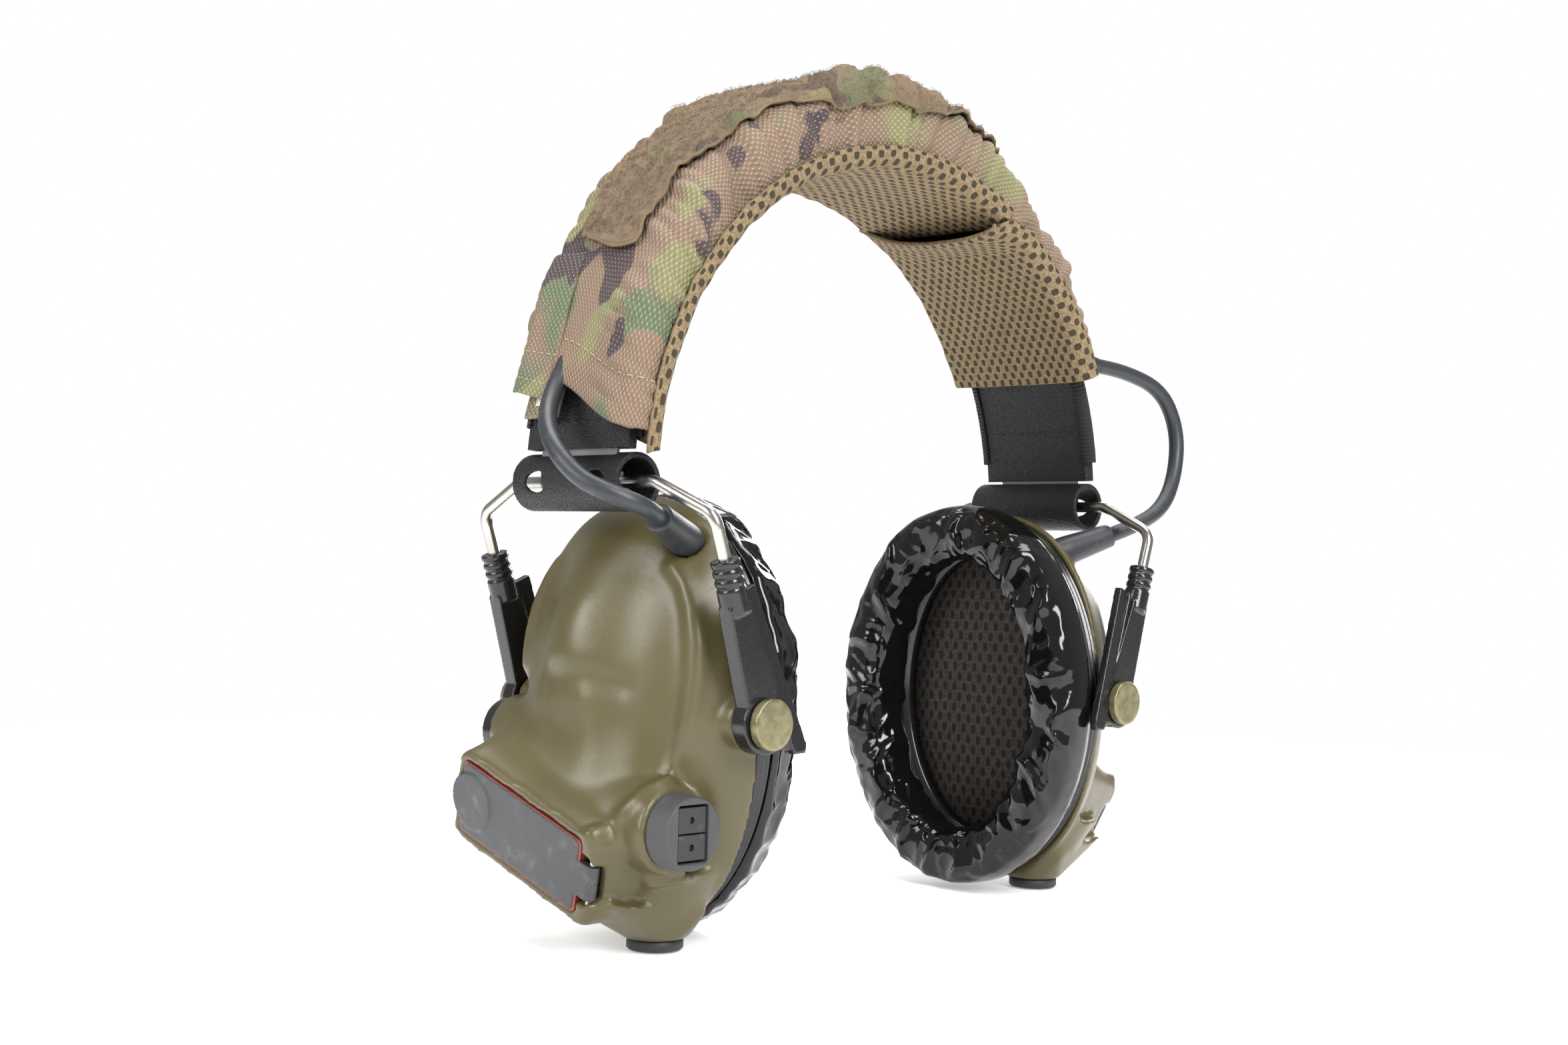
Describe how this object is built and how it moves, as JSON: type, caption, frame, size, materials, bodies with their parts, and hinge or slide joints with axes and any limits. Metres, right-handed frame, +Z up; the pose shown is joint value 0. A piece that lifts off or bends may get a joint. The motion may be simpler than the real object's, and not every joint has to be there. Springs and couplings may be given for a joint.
{
  "type": "radio headphones",
  "caption": "Folding over-ear radio headset: padded spring headband in a fabric cover, sliding wire yokes, tilting hard-shell cups with side battery boxes, microphones and a keypad.",
  "frame": {"origin": "floor under the middle of the headset, between the two cups", "axes": "+Z up, +X towards the wearer's right cup, +Y towards the front, where the microphones are"},
  "size_m": [0.2294, 0.0958, 0.2223],
  "materials": {
    "olive_plastic": "olive drab moulded plastic with a fine texture",
    "black_plastic": "glossy black moulded plastic",
    "stainless_wire": "bright drawn stainless steel",
    "spring_steel": "spring steel strip",
    "black_leather": "grained black leatherette",
    "black_tape": "ribbed black tape",
    "canvas": "woven nylon in a four-colour blotch pattern",
    "mesh_lining": "tan spacer mesh",
    "padding": "soft foam padding",
    "black_rubber": "soft satin rubber",
    "cushion_skin": "glossy black vinyl skin over foam",
    "dark_foam": "open-cell dark foam",
    "grey_plastic": "worn dark grey plastic",
    "red_gasket": "red-brown silicone",
    "nickel": "nickel-plated spring metal",
    "board_green": "glass-fibre circuit board",
    "battery_wrap": "printed film sleeve, left plain"
  },
  "bodies": {
    "headband": {"band_spring": "spring_steel", "band_sleeve": "black_leather", "edge_bindings": "black_tape", "left_tunnel": "black_leather", "right_tunnel": "black_leather", "crown_pad": "padding", "cover_canvas": "canvas", "cover_lining": "mesh_lining", "loop_patch": "canvas", "cover_flap": "canvas", "hook_tab": "canvas", "cable_run": "black_rubber", "left_cable_loop": "black_rubber", "right_cable_loop": "black_rubber"},
    "left_yoke": {"left_yoke_wire": "stainless_wire"},
    "left_arms": {"left_arm_front": "black_plastic", "left_arm_rear": "black_plastic"},
    "left_cup": {"left_shell": "olive_plastic", "left_backplate": "black_plastic", "left_cushion": "cushion_skin", "left_foam_liner": "dark_foam", "left_baffle": "black_plastic", "left_speaker": "spring_steel", "left_circuit_board": "board_green", "left_battery": "battery_wrap", "left_battery_contacts": "nickel", "left_door_gasket": "red_gasket", "left_door_pin": "nickel", "left_mic_foam": "dark_foam", "left_mic_frame": "black_plastic", "left_mic_capsule": "nickel", "left_cable_boot": "black_rubber", "left_blanking_plug": "black_rubber", "left_pivot_buttons": "olive_plastic", "keypad_ring": "black_rubber", "keypad_switches": "board_green"},
    "left_door": {"left_battery_door": "grey_plastic"},
    "right_yoke": {"right_yoke_wire": "stainless_wire"},
    "right_arms": {"right_arm_front": "black_plastic", "right_arm_rear": "black_plastic"},
    "right_cup": {"right_shell": "olive_plastic", "right_backplate": "black_plastic", "right_cushion": "cushion_skin", "right_foam_liner": "dark_foam", "right_baffle": "black_plastic", "right_speaker": "spring_steel", "right_circuit_board": "board_green", "right_battery": "battery_wrap", "right_battery_contacts": "nickel", "right_door_gasket": "red_gasket", "right_door_pin": "nickel", "right_mic_foam": "dark_foam", "right_mic_frame": "black_plastic", "right_mic_capsule": "nickel", "right_cable_boot": "black_rubber", "right_blanking_plug": "black_rubber", "right_pivot_buttons": "olive_plastic"},
    "right_door": {"right_battery_door": "grey_plastic"},
    "volume_up": {"volume_up_button": "black_rubber"},
    "volume_down": {"volume_down_button": "black_rubber"}
  },
  "joints": [
    {"name": "left_fold", "type": "hinge", "parent": "headband", "child": "left_yoke", "pos_m": [-0.088, 0, 0.111], "axis": [0, 1, 0], "range_deg": [-70, 15], "deforming": ["left_cable_loop"]},
    {"name": "left_slide", "type": "slide", "parent": "left_yoke", "child": "left_arms", "axis": [0.319, 0, -0.9478], "range_m": [0, 0.022], "deforming": ["left_cable_loop"]},
    {"name": "left_tilt", "type": "hinge", "parent": "left_arms", "child": "left_cup", "pos_m": [-0.0694, 0, 0.05575], "axis": [0, 1, 0], "range_deg": [-12, 12], "deforming": ["left_cable_loop"]},
    {"name": "left_door_hinge", "type": "hinge", "parent": "left_cup", "child": "left_door", "pos_m": [-0.09758, -0.01753, 0.01868], "axis": [-0.1941, -0.3584, 0.9132], "range_deg": [0, 95]},
    {"name": "right_fold", "type": "hinge", "parent": "headband", "child": "right_yoke", "pos_m": [0.088, 0, 0.111], "axis": [0, 1, 0], "range_deg": [-15, 70], "deforming": ["right_cable_loop"]},
    {"name": "right_slide", "type": "slide", "parent": "right_yoke", "child": "right_arms", "axis": [-0.319, 0, -0.9478], "range_m": [0, 0.022], "deforming": ["right_cable_loop"]},
    {"name": "right_tilt", "type": "hinge", "parent": "right_arms", "child": "right_cup", "pos_m": [0.0694, 0, 0.05575], "axis": [0, 1, 0], "range_deg": [-12, 12], "deforming": ["right_cable_loop"]},
    {"name": "right_door_hinge", "type": "hinge", "parent": "right_cup", "child": "right_door", "pos_m": [0.09758, -0.01753, 0.01868], "axis": [-0.1941, 0.3584, -0.9132], "range_deg": [0, 95]},
    {"name": "volume_up_press", "type": "slide", "parent": "left_cup", "child": "volume_up", "axis": [0, 1, 0], "range_m": [0, 0.0008], "stiffness_N_per_m": 1500},
    {"name": "volume_down_press", "type": "slide", "parent": "left_cup", "child": "volume_down", "axis": [0, 1, 0], "range_m": [0, 0.0008], "stiffness_N_per_m": 1500}
  ]
}
